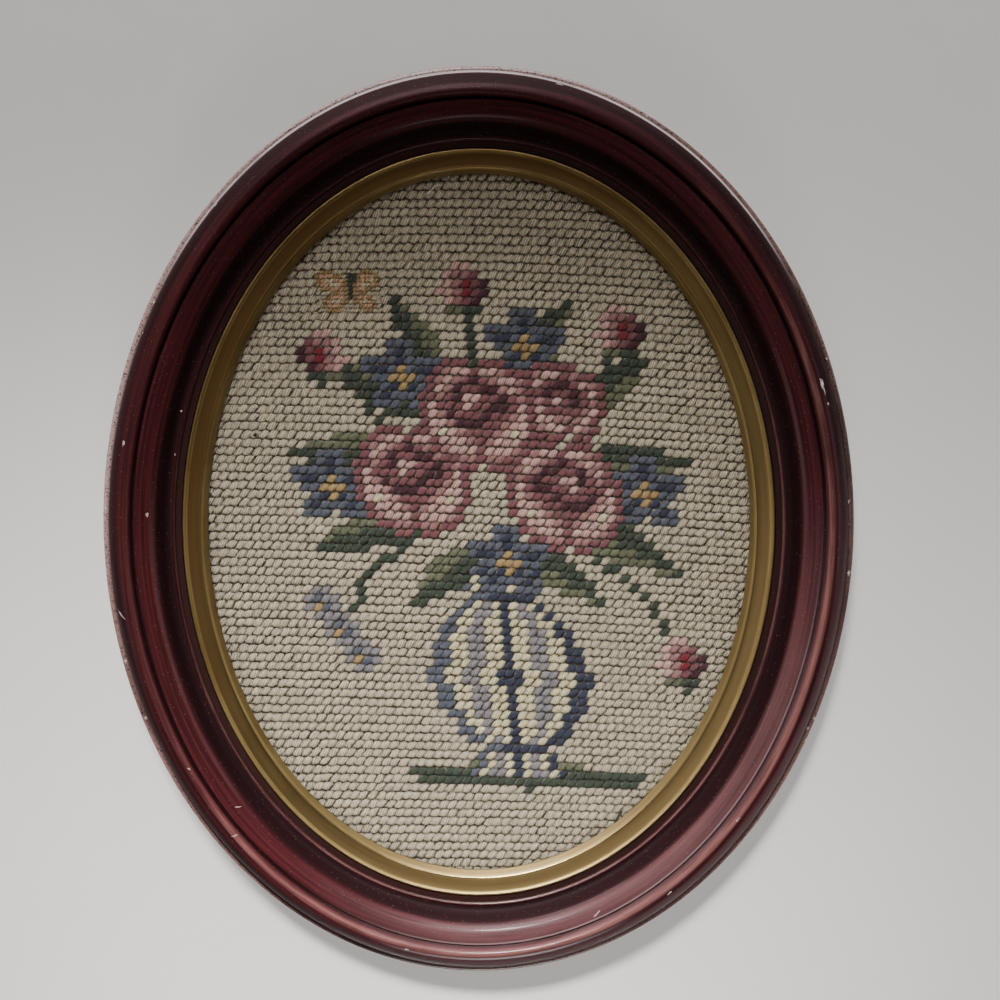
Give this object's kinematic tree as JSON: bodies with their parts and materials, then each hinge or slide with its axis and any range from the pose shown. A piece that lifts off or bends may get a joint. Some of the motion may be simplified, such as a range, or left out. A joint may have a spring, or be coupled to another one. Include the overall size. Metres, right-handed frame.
{
  "type": "needlepoint picture in an oval wooden frame",
  "caption": "Oval burgundy wood frame with a narrow gilt slip around a wool needlepoint picture of a flower vase, flat on its back and ready to stand or hang.",
  "frame": {"origin": "middle of the flat back of the frame", "axes": "+Z out of the picture's face, +Y towards the picture's top, +X to the picture's right"},
  "size_m": [0.26, 0.316, 0.0216],
  "materials": {
    "burgundy_wood": "satin burgundy stain over wood, darker in the hollows, rubbed along the raised edges",
    "gold_paint": "dull gold paint on wood, brighter along its two edges",
    "greige_wool": "matt greige tapestry wool in tent stitch",
    "plain_board": "plain brown board"
  },
  "bodies": {
    "root": {"frame_moulding": "burgundy_wood", "gilt_slip": "gold_paint", "needlepoint_canvas": "greige_wool", "backing_board": "plain_board"}
  },
  "joints": []
}
